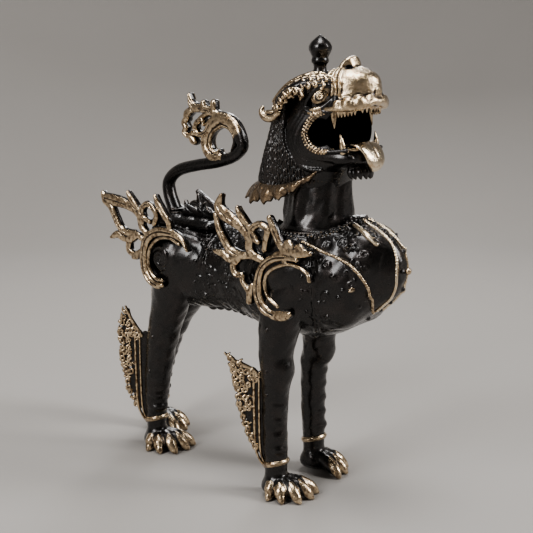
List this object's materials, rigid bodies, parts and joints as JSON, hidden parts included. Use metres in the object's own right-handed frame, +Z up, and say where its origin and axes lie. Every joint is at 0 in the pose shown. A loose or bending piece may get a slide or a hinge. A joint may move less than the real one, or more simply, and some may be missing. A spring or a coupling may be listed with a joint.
{
  "type": "foo dog statue",
  "caption": "Standing guardian lion in dark patinated brass with polished flame ornaments, a turning head and a lift-off back plate.",
  "frame": {"origin": "centre of the overall footprint, on the surface that the paws stand on", "axes": "+Z up, -Y the way the lion faces, +X the lion's left side"},
  "size_m": [0.1652, 0.4482, 0.51],
  "materials": {
    "black_patina": "dark brown-black patina on cast brass, glossy lacquer",
    "antique_brass": "brushed and relieved antique gold, dark in the recesses"
  },
  "bodies": {
    "body": {"torso_shell": "black_patina", "front_leg_right": "black_patina", "front_leg_left": "black_patina", "rear_leg_right": "black_patina", "rear_leg_left": "black_patina", "anklet_front_right": "antique_brass", "anklet_front_left": "antique_brass", "anklet_rear_right": "antique_brass", "anklet_rear_left": "antique_brass", "leg_flame_front_right": "antique_brass", "leg_flame_front_left": "antique_brass", "leg_flame_rear_right": "antique_brass", "leg_flame_rear_left": "antique_brass", "shoulder_flame_right": "antique_brass", "shoulder_flame_left": "antique_brass", "hip_flame_right": "antique_brass", "hip_flame_left": "antique_brass", "neck_collar": "antique_brass", "chest_strap_right": "antique_brass", "chest_strap_left": "antique_brass", "chest_crest": "antique_brass", "chest_stud": "antique_brass", "body_studs": "black_patina"},
    "head": {"neck_column": "black_patina", "head_shell": "black_patina", "upper_jaw": "antique_brass", "lower_jaw": "black_patina", "tongue": "antique_brass", "upper_teeth": "antique_brass", "lower_fangs": "antique_brass", "eyes": "antique_brass", "brow_scroll_right": "antique_brass", "brow_scroll_left": "antique_brass", "mane": "black_patina", "mane_fringe": "antique_brass", "chin_beard": "black_patina", "crown_finial": "black_patina"},
    "back_plate": {"back_plate": "black_patina", "dorsal_flames": "black_patina", "tail": "black_patina", "tail_flame": "antique_brass", "tail_nut": "antique_brass"}
  },
  "joints": [
    {"name": "head_turn", "type": "hinge", "parent": "body", "child": "head", "pos_m": [0, -0.105, 0.301], "axis": [0, 0, 1], "continuous": true},
    {"name": "plate_lift", "type": "slide", "parent": "body", "child": "back_plate", "axis": [0, 0, 1], "range_m": [0, 0.06]}
  ]
}
